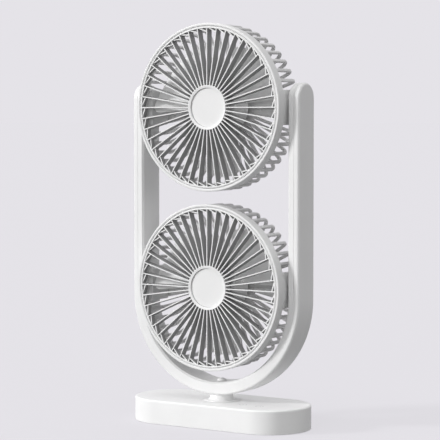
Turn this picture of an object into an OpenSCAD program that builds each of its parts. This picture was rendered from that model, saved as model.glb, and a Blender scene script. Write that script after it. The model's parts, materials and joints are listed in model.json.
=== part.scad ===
// Desk fan with two tilting fan heads in a U-shaped frame that swivels on a flat base.
// +Z is up, the grilles face -Y, and the origin is the bottom centre of the base.
// Head pieces are drawn about their tilt axis with local +Z forward, then placed.

/* [Base] */
// Length of the base, side to side
base_l = 164.4; // [156:0.2:220]
// Depth of the base, front to back
base_w = 70; // [66:0.5:110]
// Height of the base's top above the table
base_h = 20.4; // [19:0.2:40]
// Wall of the base shell
base_wall = 2; // [1.6:0.1:2.6]
// Rounding of the base's top edge
base_edge = 1.5; // [0.5:0.1:1.5]
// Thickness of the bottom plate
plate_t = 2; // [1.6:0.1:3]
// Gap under the bottom plate that the feet hold open
foot_gap = 0.8; // [0.5:0.1:2]
// Diameter of a rubber foot
foot_d = 10; // [6:0.5:14]
// How deep a foot sits in the bottom plate
foot_seat = 0.8; // [0.4:0.1:1.2]
// Foot centres from the middle of the base, along its length
foot_x = 46; // [30:1:60]
// Foot centres from the middle of the base, along its depth
foot_y = 23; // [12:1:24]
// Base screw centres along its length
base_screw_x = 66; // [62:1:70]
// Base screw centres along its depth
base_screw_y = 16; // [8:1:17]
// Shank diameter of a base screw
base_screw_d = 2.5; // [2:0.1:3]
// Head diameter of a base screw
base_screw_head_d = 4.6; // [4:0.1:5.5]
// Outside diameter of a screw boss
screw_boss_d = 6; // [5:0.2:7]
// How far the steel ballast plate reaches past the cell pouches' outer ends
ballast_over = 1; // [0:0.5:1.5]
// Depth of the steel ballast plate
ballast_w = 40; // [20:1:40]
// Thickness of the steel ballast plate
ballast_t = 3; // [1:0.2:3.2]
// Length of one battery cell pouch
cell_l = 38; // [20:1:44]
// Depth of one battery cell pouch
cell_w = 34; // [16:1:36]
// Thickness of one battery cell pouch
cell_t = 7.5; // [4:0.5:8]
// Gap between a cell pouch and the swivel's stops
cell_gap = 1; // [0.5:0.5:4]
// Length of the control board
board_l = 50; // [30:1:60]
// Depth of the control board
board_w = 12; // [10:0.5:12.5]
// Thickness of the circuit boards
board_t = 1.2; // [0.8:0.1:1.6]
// Height of the control board above the bottom plate
board_lift = 4.2; // [3:0.2:5]
// Diameter of a post under the control board
board_post_d = 4; // [3:0.5:6]
// Width of the charging port's mouth shell
port_w = 8.94; // [8.9:0.02:9]
// Height of the charging port's mouth shell
port_h = 3.26; // [3.2:0.02:3.3]
// Depth of the charging port
port_d = 7.35; // [6.5:0.05:8]
// Wall of the charging port's metal shell
port_wall = 0.35; // [0.3:0.05:0.4]
// Length of the touch board
touch_board_l = 36; // [30:1:40]
// Depth of the touch board
touch_board_w = 16; // [12:1:18]
// Middle of the touch marks from the middle of the base
touch_x = 38; // [32:1:44]
// Distance of the touch marks in front of the middle
touch_y = 14; // [10:1:16]
// Spacing of the two touch marks
touch_pitch = 16; // [12:1:18]
// Outside diameter of a touch mark
touch_d = 7; // [5:0.5:8]
// Line width of a touch mark
touch_line = 0.7; // [0.5:0.1:1]
// Depth of the touch marks' inlay
touch_t = 0.3; // [0.2:0.1:0.5]

/* [Swivel] */
// Gap between the base's top and the bottom of the U frame
neck_h = 5.6; // [5:0.2:14]
// Diameter of the neck collar
collar_d = 20; // [18:0.5:24]
// Diameter of the collar's flared foot
flare_d = 34; // [26:1:44]
// Height of the flared foot
flare_h = 3; // [1:0.2:3.4]
// Height of the upright rim round the flared foot
flare_rim = 0.6; // [0.4:0.1:0.9]
// Diameter of the swivel shaft
shaft_d = 14; // [13:0.2:15]
// Wall of the swivel bushing
bush_wall = 2; // [1.5:0.1:2.5]
// Wall of the boss that holds the bushing
bush_boss_wall = 2.4; // [2:0.1:3]
// Length of the bushing below the base's top face
bush_l = 9.6; // [7:0.2:9.8]
// Thickness of the slip washer under the collar
slip_t = 0.5; // [0.3:0.1:1]
// Thickness of the retaining washer on the shaft
keeper_t = 1.2; // [1:0.1:1.4]
// Reach of the stop tab past the retaining washer's rim
stop_reach = 3; // [2:0.2:4]
// Width of the stop tab
stop_w = 4; // [3:0.5:5]
// Swivel of the frame each way from straight ahead, in degrees
swivel_max = 45; // [20:5:60]
// Width across corners of the swivel nut
swivel_nut_d = 19; // [17.5:0.5:20]
// Thickness of the swivel nut
swivel_nut_t = 2.2; // [1.8:0.1:2.2]
// Offset of the wire passage behind the shaft's centre
wire_y = 4.7; // [4.5:0.1:4.8]
// Diameter of the wire passage
wire_hole_d = 3.2; // [2.8:0.1:3.4]
// Diameter of the frame screw's shank
neck_screw_d = 3; // [2.5:0.1:3.5]
// Diameter of the frame screw's head
neck_screw_head_d = 5.6; // [5:0.1:5.8]
// Height of the frame screw's head
neck_screw_head_h = 2; // [1.5:0.1:2.4]
// Height of the flat seat under the frame screw's head
neck_seat_h = 0.6; // [0.3:0.1:1]
// Length of the frame screw under its head
neck_screw_l = 11; // [8:0.5:12]
// Diameter of the plug that covers the frame screw
plug_d = 7; // [6.6:0.2:9]
// Diameter of the plug's domed cap
plug_cap_d = 8.4; // [8:0.2:11]
// Height of the plug's domed cap
plug_cap_h = 2.4; // [0.8:0.1:3]

/* [Frame] */
// Width of the frame's strip, front to back
frame_d = 25.8; // [24:0.2:30]
// Thickness of the frame's strip, inside face to outside face
frame_t = 10.7; // [9:0.1:11]
// Wall of the two frame shells
frame_wall = 2; // [1.6:0.1:2.2]
// Depth of the inner shell, up to the seam
liner_t = 5.7; // [3.8:0.1:6]
// Gap of the seam between the two frame shells
seam_gap = 0.15; // [0.1:0.05:0.3]
// Chamfer on the outer shell's two long edges
frame_edge = 1.8; // [0.8:0.1:2.2]
// Chamfer on the inner shell's two long edges
liner_edge = 1.5; // [0.4:0.1:2.2]
// Height of the arms' round ends' centre above the upper tilt axis
arm_rise = 7.35; // [4:0.05:12]
// Thickness of the wire ribbon
ribbon_t = 1.2; // [0.8:0.1:1.4]
// Width of the wire ribbon
ribbon_w = 4; // [3:0.5:5]

/* [Fan heads] */
// Outside diameter of a fan head
head_d = 140; // [136:0.5:170]
// Distance from the tilt axis forward to the rim's front face
head_front = 23.6; // [22.6:0.2:26]
// Distance from the tilt axis back to the cage's rear face
head_back = 15.6; // [13.6:0.2:18]
// Gap between a head's side and the inside face of an arm
head_gap = 2; // [2:0.1:5]
// Gap between the two heads' rims
heads_apart = 10.65; // [8:0.05:30]
// Height of the lower tilt axis above the centre of the frame's bend
lower_rise = 8.7; // [7.6:0.1:14]
// Depth of the smooth band behind the rim
band_d = 9.6; // [9:0.2:12]
// Thickness of the rim round the front grille
rim_t = 2.4; // [1.6:0.1:3]
// Width of the ledge that the front grille sits on
ledge_w = 4.5; // [3.5:0.1:6]
// Small chamfer on the rims
rim_chamfer = 0.5; // [0.1:0.1:0.5]
// Number of places for bars round the rear cage
bars = 48; // [36:2:56]
// Width of a rear cage bar
bar_w = 2.8; // [1.4:0.1:2.8]
// Thickness of a rear cage bar
bar_t = 2.6; // [1.8:0.1:3]
// How far a bar's outer face lies inside the band's and rear plate's surfaces
bar_inset = 0.2; // [0.1:0.1:0.6]
// Outer radius of a bar's elbow at the back
elbow_r = 9.5; // [4:0.5:12]
// Radius of the solid plate in the middle of the cage
rear_plate_r = 24.8; // [22:0.2:32]
// Height of the pivot pads on a head's sides
pad_h = 29; // [22:1:34]
// Thickness of a pivot pad, from the head's side inward
pad_t = 9; // [8:0.2:9.5]
// How far a pad reaches behind the tilt axis
pad_back = 9; // [8:0.5:11]

/* [Front grille] */
// Depth of the front grille
grille_d = 7; // [5.5:0.1:7.5]
// Gap between the front grille and the rim round it
grille_gap = 0.15; // [0.1:0.05:0.3]
// Width of the front grille's outer ring
grille_ring_w = 1.7; // [1.5:0.1:1.9]
// Number of front spokes
spokes = 44; // [30:1:60]
// Width of a front spoke
spoke_w = 1.4; // [1:0.1:1.8]
// How far a spoke's front edge lies behind the rim's front face
spoke_inset = 0.2; // [0.1:0.1:0.4]
// How far a slanted strut's front edge lies behind the rim's front face
strut_inset = 0.7; // [0.5:0.1:1.5]
// Width of a slanted strut near the ring
strut_w = 1; // [0.8:0.1:1.6]
// Depth of a slanted strut
strut_d = 4.5; // [2:0.5:5]
// How far in from the ring a slanted strut ends
strut_in = 2.8; // [2:0.2:7]
// Radius of the hub ring in the middle of the grille
hub_r = 18.6; // [16:0.2:22]
// Wall of the hub ring
hub_wall = 2.3; // [0.8:0.1:4]
// Recess of the hub cap behind the hub ring's front
cap_recess = 1.5; // [0.6:0.1:2.2]
// Thickness of the hub cap
cap_t = 2; // [1.2:0.1:2.4]
// Thickness of the hub's floor behind the cap
hub_floor_t = 2; // [1.2:0.1:2.2]

/* [Motor and impeller] */
// Radius of the impeller
impeller_r = 58.5; // [50:0.5:59]
// Outside radius of the impeller's hub cup
cup_r = 21; // [21:0.2:23]
// Wall of the hub cup
cup_wall = 1.8; // [1.4:0.1:2]
// Distance of the cup's front face ahead of the tilt axis
cup_front = 13; // [12.4:0.2:14]
// Distance of the cup's open rear edge behind the tilt axis
cup_back = 8.6; // [7.8:0.2:9]
// Number of blades
blades = 3; // [2:1:7]
// Pitch of a blade, in degrees
blade_pitch = 21; // [12:1:24]
// Thickness of a blade
blade_t = 1.4; // [1:0.1:2]
// Radius of a blade's curve
blade_curve = 75; // [55:1:150]
// Half width of a blade at the hub
blade_root = 9.5; // [6:0.5:11]
// Half width of a blade at the tip
blade_tip = 28; // [14:0.5:28]
// Middle of the blades ahead of the tilt axis
blade_z = 2; // [1:0.2:3]
// Angle of the first blade at rest, in degrees
blade_phase = 36; // [0:1:120]
// Diameter of the motor shaft
motor_shaft_d = 3; // [2.5:0.1:3.4]
// Outside diameter of a ball bearing
bearing_d = 8; // [7:0.2:8.4]
// Width of a ball bearing
bearing_w = 3; // [2:0.5:3]
// Wall of the bearing tube
tube_wall = 1.5; // [1.2:0.1:1.8]
// Distance of the bearing tube's front end ahead of the tilt axis
tube_front = 5; // [4.8:0.1:5.2]
// Radius of the stator
stator_r = 14.3; // [13:0.1:14.5]
// Number of stator teeth
teeth = 9; // [6:3:12]
// Width of a stator tooth
tooth_w = 2.4; // [2:0.1:2.6]
// Half the stator stack's thickness
stator_half = 4.5; // [3:0.1:4.6]
// Middle of the stator behind the tilt axis
stator_back = 2.5; // [2.4:0.1:2.6]
// Thickness of a winding round its tooth
coil_t = 1; // [0.6:0.1:1]
// Width of the air gap
air_gap = 0.5; // [0.4:0.1:0.8]
// Thickness of the magnet ring
magnet_t = 2.4; // [1.5:0.1:2.6]
// Radius of the motor's circuit board
motor_board_r = 14; // [12:0.5:16]
// Thickness of the lead from the pivot to the motor
lead_t = 1.2; // [0.8:0.1:1.2]
// Width of the lead from the pivot to the motor
lead_w = 2.6; // [1.5:0.1:3]

/* [Tilt pivots] */
// Diameter of a hollow tilt pin
pin_d = 8; // [7:0.2:9]
// Bore of a hollow tilt pin
pin_bore = 3.6; // [2.4:0.2:4]
// Diameter of a tilt pin's flange
pin_flange_d = 12; // [11:0.5:14]
// Thickness of a tilt pin's flange
pin_flange_t = 1.5; // [1.2:0.1:2]
// Diameter of a friction washer
washer_d = 15; // [12:0.5:15.2]
// How deep the washer's flat seat is cut into a pad
seat_cut = 0.6; // [0.5:0.1:1]
// Width across corners of a pin's nut
pin_nut_d = 14; // [12:0.5:14.5]
// Thickness of a pin's nut
pin_nut_t = 2.8; // [2.2:0.1:2.8]

/* [Fits] */
// Running clearance of a pin or shaft in its bore, on the radius
run_fit = 0.05; // [0.02:0.01:0.09]
// Gap between moving faces
face_gap = 0.25; // [0.15:0.05:0.4]
// Clearance round a piece that is fixed in its seat
seat_fit = 0.1; // [0.05:0.05:0.2]

/* [Hidden] */
$fn = 64;
// How far a cut runs past the face that it opens
cut = 1;
// How deep a bar or boss runs into what carries it
bite = 0.5;

// Heights in the base
plate_top = foot_gap + plate_t;
base_ceiling = base_h - base_wall;
board_z = plate_top + board_lift;
port_mid_z = board_z + board_t + port_h / 2;
port_corner = port_h / 2;
inner_w = base_w - 2 * base_wall;
port_front_y = base_w / 2 - seat_fit;
board_y = inner_w / 2 - face_gap - board_w;

// Swivel: the shaft hangs in a bushing under the base's top
shaft_r = shaft_d / 2;
bush_r = shaft_r + run_fit + bush_wall;
bush_boss_r = bush_r + seat_fit + bush_boss_wall;
bush_bottom = base_h - bush_l;
keeper_top = bush_bottom - face_gap;
keeper_r = bush_r + bush_boss_wall;
nut_top = keeper_top - keeper_t;
shaft_bottom = nut_top - swivel_nut_t - cut;
collar_bottom = base_h + slip_t + seat_fit;
stop_in = keeper_r + face_gap;
stop_out = norm([stop_in + stop_reach, 1.5 * stop_w + face_gap]);

// Ballast and cells, between the stops and the ends of the base
ballast_top = plate_top + ballast_t;
cell_in = stop_out + cell_gap;
ballast_half = cell_in + cell_l + ballast_over;

// Frame: a U whose bend is a half circle under two straight arms
head_r = head_d / 2;
frame_in = head_r + head_gap;
frame_out = frame_in + frame_t;
bend_z = base_h + neck_h + frame_out;
lower_z = bend_z + lower_rise;
upper_z = lower_z + head_d + heads_apart;
arm_top_z = upper_z + arm_rise;
arm_half = frame_d / 2;
seam_r = frame_in + liner_t;
channel_out = frame_out - frame_wall;
floor_z = bend_z - channel_out;
neck_seat_z = floor_z + neck_seat_h;
neck_seat_r = neck_screw_head_d / 2 + frame_wall;
ribbon_y = neck_seat_r + seat_fit;

// Fan head, in its own frame
rim_in = head_r - rim_t;
grille_r = rim_in - grille_gap;
grille_ring_in = grille_r - grille_ring_w;
grille_back = head_front - grille_d;
band_back = head_front - band_d;
bar_rear = bar_inset - head_back;
elbow_z = elbow_r + bar_rear;
bar_out = head_r - bar_inset;
elbow_x = bar_out - elbow_r;
bridge_half = asin(pad_h / 2 / head_r);
pad_in = head_r - pad_t;
pad_face = head_r - seat_cut;
pin_pocket = pin_flange_t + face_gap + seat_fit;
strut_r = grille_ring_in - strut_in;
cap_front = head_front - cap_recess;
cap_back = cap_front - cap_t;
cap_r = hub_r - hub_wall - grille_gap;

// Motor
rear_face = bar_t - head_back;
motor_board_front = rear_face + board_t;
bearing_r = bearing_d / 2;
tube_r = bearing_r + seat_fit / 2 + tube_wall;
motor_shaft_r = motor_shaft_d / 2;
magnet_in = stator_r + air_gap;
magnet_out = magnet_in + magnet_t;
yoke_in = magnet_out + seat_fit;
cup_in = cup_r - cup_wall;
yoke_out = cup_in - seat_fit;
ring_half = stator_half + coil_t;
shaft_rear = rear_face + face_gap;
shaft_front = cup_front - cup_wall / 2;
tooth_gap = 2.2;
tooth_tip = 1.4;

white = [0.93, 0.93, 0.93];
grey = [0.62, 0.62, 0.63];
steel = [0.72, 0.73, 0.75];
dark = [0.2, 0.2, 0.21];

// Placing helpers
module both_sides() {
    children();
    mirror([1, 0, 0]) children();
}

module all_corners(x, y) {
    for (sx = [-1, 1], sy = [-1, 1])
        translate([sx * x, sy * y, 0]) children();
}

module around(count) {
    for (i = [0 : count - 1])
        rotate(i * 360 / count) children();
}

// Turns a piece drawn along +Z so that it runs along +X
module along_x() {
    rotate([90, 0, 90]) children();
}

module at_head(z) {
    translate([0, 0, z]) rotate([90, 0, 0]) children();
}

module at_pivots() {
    for (z = [lower_z, upper_z])
        both_sides() translate([0, 0, z]) children();
}

module ring(r_out, r_in, z0, z1) {
    translate([0, 0, z0]) difference() {
        cylinder(r = r_out, h = z1 - z0);
        translate([0, 0, -cut]) cylinder(r = r_in, h = z1 - z0 + 2 * cut);
    }
}

// A stadium plate: round ends of radius w / 2, from z0 to z1
module stadium(l, w, z0, z1) {
    translate([0, 0, z0]) linear_extrude(z1 - z0) {
        square([l - w, w], center = true);
        for (s = [-1, 1])
            translate([s * (l - w) / 2, 0]) circle(w / 2);
    }
}

// One quarter of the base's outline from the side, with its rounded top edge
module edge_profile(r, h, e) {
    square([r - e, h]);
    square([r, h - e]);
    translate([r - e, h - e]) circle(e);
}

module rounded_stadium(l, w, z0, z1, e) {
    translate([0, 0, z0]) {
        for (s = [-1, 1])
            translate([s * (l - w) / 2, 0, 0]) rotate_extrude() edge_profile(w / 2, z1 - z0, e);
        translate([-(l - w) / 2, 0, 0]) along_x() linear_extrude(l - w) {
            edge_profile(w / 2, z1 - z0, e);
            mirror([1, 0]) edge_profile(w / 2, z1 - z0, e);
        }
    }
}

// Base
module touch_outline() {
    difference() {
        circle(d = touch_d);
        circle(d = touch_d - 2 * touch_line);
    }
}

// A ring with a dot, and a ring with three short bars
module touch_shapes() {
    translate([touch_x - touch_pitch / 2, -touch_y]) {
        touch_outline();
        circle(d = touch_d / 4);
    }
    translate([touch_x + touch_pitch / 2, -touch_y]) {
        touch_outline();
        for (a = [90, 210, 330])
            rotate(a) translate([touch_d / 8, -touch_line / 2])
                square([touch_d / 8 + touch_line, touch_line]);
    }
}

module port_shape(grow) {
    half = port_w / 2 - port_corner;
    translate([-half, -port_h / 2 - grow]) square([2 * half, port_h + 2 * grow]);
    for (s = [-1, 1])
        translate([s * half, 0]) circle(port_corner + grow);
}

module port_run(depth) {
    translate([0, port_front_y, port_mid_z]) rotate([90, 0, 0]) linear_extrude(depth) children();
}

module base_shell() {
    color(white) difference() {
        union() {
            difference() {
                rounded_stadium(base_l, base_w, foot_gap, base_h, base_edge);
                stadium(base_l - 2 * base_wall, inner_w, foot_gap - cut, base_ceiling);
            }
            all_corners(base_screw_x, base_screw_y)
                translate([0, 0, plate_top])
                    cylinder(d = screw_boss_d, h = base_ceiling - plate_top + bite);
            translate([0, 0, bush_bottom])
                cylinder(r = bush_boss_r, h = base_ceiling - bush_bottom + bite);
            stop_ribs();
        }
        translate([0, 0, bush_bottom - cut]) cylinder(r = bush_r + seat_fit / 2, h = bush_l + 2 * cut);
        all_corners(base_screw_x, base_screw_y)
            translate([0, 0, plate_top - cut])
                cylinder(d = base_screw_d + seat_fit, h = base_ceiling - plate_top);
        translate([0, 0, base_h - touch_t]) linear_extrude(touch_t + cut) touch_shapes();
        translate([0, cut, 0]) port_run(base_wall + 2 * cut) port_shape(2 * seat_fit);
    }
}

// Two ribs that the keeper's tab meets just past each end of the swivel
module stop_ribs() {
    for (s = [-1, 1])
        mirror([(1 - s) / 2, 0, 0])
            rotate(90 + swivel_max)
                translate([stop_in, stop_w / 2 + face_gap, nut_top])
                    cube([stop_reach, stop_w, base_ceiling - nut_top + bite]);
}

module base_bottom_plate() {
    color(grey) {
        difference() {
            stadium(base_l - 2 * base_wall - 2 * seat_fit, inner_w - 2 * seat_fit, foot_gap, plate_top);
            all_corners(foot_x, foot_y)
                translate([0, 0, foot_gap - cut]) cylinder(d = foot_d + seat_fit, h = foot_seat + cut);
            all_corners(base_screw_x, base_screw_y) {
                translate([0, 0, foot_gap - cut])
                    cylinder(d = base_screw_d + 2 * seat_fit, h = plate_t + 2 * cut);
                translate([0, 0, foot_gap - cut])
                    cylinder(d = base_screw_head_d + 2 * seat_fit, h = plate_t / 2 + cut);
            }
        }
        for (s = [-1, 1])
            translate([s * (board_l / 2 - board_post_d), board_y + board_w / 2, plate_top - bite])
                cylinder(d = board_post_d, h = board_lift + bite);
    }
}

module rubber_feet() {
    color(dark) all_corners(foot_x, foot_y) cylinder(d = foot_d, h = foot_gap + foot_seat);
}

module base_screws() {
    head_z = foot_gap + plate_t / 2;
    head_h = plate_t / 2 - seat_fit;
    color(steel) all_corners(base_screw_x, base_screw_y) {
        translate([0, 0, head_z - head_h]) cylinder(d = base_screw_head_d, h = head_h);
        translate([0, 0, head_z - bite])
            cylinder(d = base_screw_d, h = (base_ceiling - plate_top) / 2 + plate_t);
    }
}

module ballast_plate() {
    color(steel) translate([-ballast_half, -ballast_w / 2, plate_top])
        cube([2 * ballast_half, ballast_w, ballast_t]);
}

module battery_cells() {
    color([0.35, 0.45, 0.6]) both_sides()
        translate([cell_in, -cell_w / 2, ballast_top]) cube([cell_l, cell_w, cell_t]);
}

module control_board() {
    color([0.1, 0.35, 0.2]) translate([-board_l / 2, board_y, board_z])
        cube([board_l, board_w, board_t]);
}

module charge_port() {
    color(steel) difference() {
        port_run(port_d) port_shape(0);
        translate([0, cut, 0]) port_run(port_d - port_wall + cut) port_shape(-port_wall);
    }
}

module touch_board() {
    color([0.1, 0.35, 0.2])
        translate([touch_x - touch_board_l / 2, -touch_y - touch_board_w / 2, base_ceiling - board_t])
            cube([touch_board_l, touch_board_w, board_t]);
}

module touch_marks() {
    color(grey) translate([0, 0, base_h - touch_t]) linear_extrude(touch_t) touch_shapes();
}

module swivel_bushing() {
    color([0.85, 0.82, 0.74]) ring(bush_r, shaft_r + run_fit, bush_bottom, base_h);
}

module slip_washer() {
    color([0.85, 0.82, 0.74]) ring(collar_d / 2 - seat_fit, shaft_r + run_fit, base_h, base_h + slip_t);
}

// Frame: a strip with two chamfered edges on its far side, u across and v along its width
module strip(t, w, e) {
    polygon([[0, -w / 2], [t - e, -w / 2], [t, e - w / 2], [t, w / 2 - e], [t - e, w / 2], [0, w / 2]]);
}

module outer_section() {
    depth = frame_out - seam_r - seam_gap;
    translate([seam_r + seam_gap, 0]) difference() {
        strip(depth, frame_d, frame_edge);
        translate([-cut, frame_wall - arm_half]) square([depth - frame_wall + cut, frame_d - 2 * frame_wall]);
    }
}

module inner_section() {
    difference() {
        translate([seam_r, 0]) mirror([1, 0]) strip(liner_t, frame_d, liner_edge);
        translate([frame_in + frame_wall, frame_wall - arm_half])
            square([liner_t, frame_d - 2 * frame_wall]);
    }
}

module ribbon_section() {
    translate([channel_out - seat_fit - ribbon_t, ribbon_y]) square([ribbon_t, ribbon_w]);
}

// Carries a section round the bend and up both arms to height top
module sweep_u(top) {
    translate([0, 0, bend_z]) {
        rotate([-90, 0, 0]) rotate_extrude(angle = 180) children();
        both_sides() linear_extrude(top - bend_z) children();
    }
}

// Rounds off an arm's end by turning the section's half about the end's centre
module round_end() {
    both_sides() translate([0, 0, arm_top_z]) along_x() rotate_extrude(angle = 180)
        intersection() {
            mirror([1, -1]) children();
            square([arm_half, frame_out]);
        }
}

module pivot_bores(r) {
    at_pivots() translate([frame_in - cut, 0, 0]) along_x() cylinder(r = r, h = frame_wall + 2 * cut);
}

module frame_outer_shell() {
    color(white) difference() {
        union() {
            sweep_u(arm_top_z) outer_section();
            round_end() outer_section();
            intersection() {
                translate([0, 0, floor_z - frame_wall / 2])
                    cylinder(r = neck_seat_r, h = frame_wall / 2 + neck_seat_h);
                translate([0, arm_half, bend_z]) rotate([90, 0, 0])
                    cylinder(r = frame_out - frame_wall / 2, h = frame_d);
            }
        }
        translate([0, 0, floor_z - frame_wall - cut])
            cylinder(d = neck_screw_d + 2 * seat_fit, h = frame_wall + 2 * cut);
        translate([0, wire_y, floor_z - frame_wall - cut])
            cylinder(d = wire_hole_d, h = frame_wall + 2 * cut);
    }
}

module frame_inner_shell() {
    color(white) difference() {
        union() {
            sweep_u(arm_top_z) inner_section();
            round_end() inner_section();
        }
        pivot_bores(pin_d / 2 + seat_fit / 2);
        translate([0, 0, bend_z - frame_in - frame_wall - cut])
            cylinder(d = plug_d + seat_fit, h = frame_wall + 2 * cut);
    }
}

// A round collar with a flared foot, on the shaft that turns in the bushing
module neck_post() {
    collar_top = bend_z - frame_out + frame_wall;
    color(white) difference() {
        union() {
            translate([0, 0, collar_bottom]) rotate_extrude() polygon([
                [0, 0],
                [flare_d / 2, 0],
                [flare_d / 2, flare_rim],
                [collar_d / 2, flare_h],
                [collar_d / 2, collar_top - collar_bottom],
                [0, collar_top - collar_bottom]
            ]);
            translate([0, 0, shaft_bottom]) cylinder(r = shaft_r, h = collar_bottom - shaft_bottom + bite);
        }
        translate([0, frame_d, bend_z]) rotate([90, 0, 0])
            cylinder(r = frame_out + seat_fit / 2, h = 2 * frame_d);
        translate([0, 0, neck_seat_z - neck_screw_l - cut])
            cylinder(d = neck_screw_d + seat_fit, h = neck_screw_l + 2 * cut);
        translate([0, wire_y, shaft_bottom - cut])
            cylinder(d = wire_hole_d, h = collar_top - shaft_bottom + 2 * cut);
    }
}

module neck_screw() {
    color(steel) {
        translate([0, 0, neck_seat_z]) cylinder(d = neck_screw_head_d, h = neck_screw_head_h);
        translate([0, 0, neck_seat_z - neck_screw_l]) cylinder(d = neck_screw_d, h = neck_screw_l + bite);
    }
}

// The plug fills the screw's access hole and ends in a low dome
module screw_plug() {
    face_z = bend_z - frame_in;
    dome_r = (plug_cap_d * plug_cap_d / 4 + plug_cap_h * plug_cap_h) / (2 * plug_cap_h);
    seat_z = face_z + plug_cap_d * plug_cap_d / (8 * frame_in) + seat_fit;
    color(white) {
        translate([0, 0, face_z - frame_wall]) cylinder(d = plug_d, h = frame_wall + seat_z - face_z + bite);
        translate([0, 0, seat_z]) intersection() {
            translate([0, 0, plug_cap_h - dome_r]) sphere(dome_r);
            cylinder(d = plug_cap_d + cut, h = plug_cap_h + cut);
        }
    }
}

// The keeper's tab turns with the frame between the base's two stop ribs
module swivel_keeper() {
    color(steel) difference() {
        union() {
            translate([0, 0, nut_top]) cylinder(r = keeper_r, h = keeper_t);
            translate([-stop_w / 2, 0, nut_top])
                cube([stop_w, stop_in + stop_reach, keeper_t]);
        }
        translate([0, 0, nut_top - cut])
            cylinder(r = shaft_r + seat_fit / 2, h = keeper_t + 2 * cut);
    }
}

module swivel_nut() {
    color(steel) difference() {
        translate([0, 0, nut_top - swivel_nut_t]) cylinder(d = swivel_nut_d, h = swivel_nut_t, $fn = 6);
        translate([0, 0, nut_top - swivel_nut_t - cut])
            cylinder(r = shaft_r + seat_fit / 2, h = swivel_nut_t + 2 * cut);
    }
}

// A hollow pin with a flange in the pad's pocket and its far end in the arm's channel
module tilt_pins() {
    flange_x = pad_in + seat_fit;
    pin_end = channel_out - 2 * seat_fit - ribbon_t - seat_fit;
    color(steel) at_pivots() difference() {
        union() {
            translate([flange_x, 0, 0]) along_x() cylinder(d = pin_flange_d, h = pin_flange_t);
            translate([flange_x, 0, 0]) along_x() cylinder(d = pin_d, h = pin_end - flange_x);
        }
        translate([flange_x - cut, 0, 0]) along_x() cylinder(d = pin_bore, h = pin_end - flange_x + 2 * cut);
    }
}

module tilt_pin_nuts() {
    color(steel) at_pivots() translate([frame_in + frame_wall, 0, 0]) along_x() difference() {
        cylinder(d = pin_nut_d, h = pin_nut_t, $fn = 6);
        translate([0, 0, -cut]) cylinder(r = pin_d / 2 + seat_fit / 2, h = pin_nut_t + 2 * cut);
    }
}

module friction_washers() {
    washer_t = frame_in - pad_face - face_gap;
    color(dark) at_pivots() translate([pad_face + face_gap, 0, 0]) along_x() difference() {
        cylinder(d = washer_d, h = washer_t);
        translate([0, 0, -cut]) cylinder(r = pin_d / 2 + seat_fit / 2, h = washer_t + 2 * cut);
    }
}

// A flat ribbon up both arms, and its tail down through the swivel shaft
module wire_harness() {
    tail_top = bend_z - channel_out + seat_fit + ribbon_t;
    color(dark) {
        sweep_u(upper_z) ribbon_section();
        translate([0, wire_y, shaft_bottom])
            cylinder(d = wire_hole_d - 4 * seat_fit, h = tail_top - shaft_bottom);
    }
}

// Fan head: a rear cage with its rim, bars, bridges and pivot pads in one moulding
module bar_profile() {
    translate([bar_out - bar_t, elbow_z]) square([bar_t, band_back - elbow_z + bite]);
    translate([elbow_x, elbow_z]) intersection() {
        difference() {
            circle(elbow_r);
            circle(elbow_r - bar_t);
        }
        translate([0, -elbow_r]) square([elbow_r, elbow_r]);
    }
    translate([rear_plate_r - bite, bar_rear]) square([elbow_x - rear_plate_r + bite, bar_t]);
}

// Bars stand half a pitch off the sides, and leave out the places that the bridges fill
module rear_bars() {
    pitch = 360 / bars;
    reach = pad_h / 2 + bar_w;
    for (i = [0 : bars - 1])
        if (abs(sin((i + 0.5) * pitch)) * bar_out > reach)
            rotate((i + 0.5) * pitch) rotate([90, 0, 0]) linear_extrude(bar_w, center = true) bar_profile();
}

// A solid wedge with the bars' own section joins each pad to the rear plate
module rear_bridge() {
    rotate(-bridge_half) rotate_extrude(angle = 2 * bridge_half) bar_profile();
}

module rear_cage() {
    color(white) difference() {
        union() {
            rotate_extrude() polygon([
                [head_r - ledge_w, band_back],
                [head_r, band_back],
                [head_r, head_front - rim_chamfer],
                [head_r - rim_chamfer, head_front],
                [rim_in + rim_chamfer, head_front],
                [rim_in, head_front - rim_chamfer],
                [rim_in, grille_back],
                [head_r - ledge_w, grille_back]
            ]);
            rear_bars();
            both_sides() rear_bridge();
            both_sides() intersection() {
                translate([0, 0, -pad_back]) cylinder(r = head_r, h = pad_back + band_back + bite);
                translate([pad_in, -pad_h / 2, -pad_back])
                    cube([pad_t + cut, pad_h, pad_back + band_back + bite]);
            }
            translate([0, 0, -head_back]) cylinder(r = rear_plate_r, h = bar_t);
            ring(tube_r, bearing_r + seat_fit / 2, rear_face - bite, tube_front);
        }
        both_sides() {
            translate([pad_in - cut, 0, 0]) along_x() cylinder(r = pin_d / 2 + run_fit, h = pad_t + 2 * cut);
            translate([pad_in - cut, 0, 0]) along_x()
                cylinder(r = pin_flange_d / 2 + face_gap, h = cut + pin_pocket);
            translate([pad_face, 0, 0]) along_x() cylinder(d = washer_d + 2 * face_gap, h = seat_cut + cut);
        }
    }
}

module front_spoke() {
    spoke_in = hub_r - bite / 2;
    translate([spoke_in, -spoke_w / 2, grille_back])
        cube([grille_ring_in + bite - spoke_in, spoke_w, grille_d - spoke_inset]);
}

// A thin strut from the ring at one spoke inward to the next spoke clockwise
module slanted_strut() {
    step = -360 / spokes;
    x0 = grille_ring_in + 2 * bite;
    x1 = strut_r * cos(step);
    y1 = strut_r * sin(step);
    run = sqrt((x1 - x0) * (x1 - x0) + y1 * y1);
    translate([x0, 0, head_front - strut_inset - strut_d]) rotate(atan2(y1, x1 - x0))
        translate([0, -strut_w / 2, 0]) cube([run, strut_w, strut_d]);
}

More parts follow.
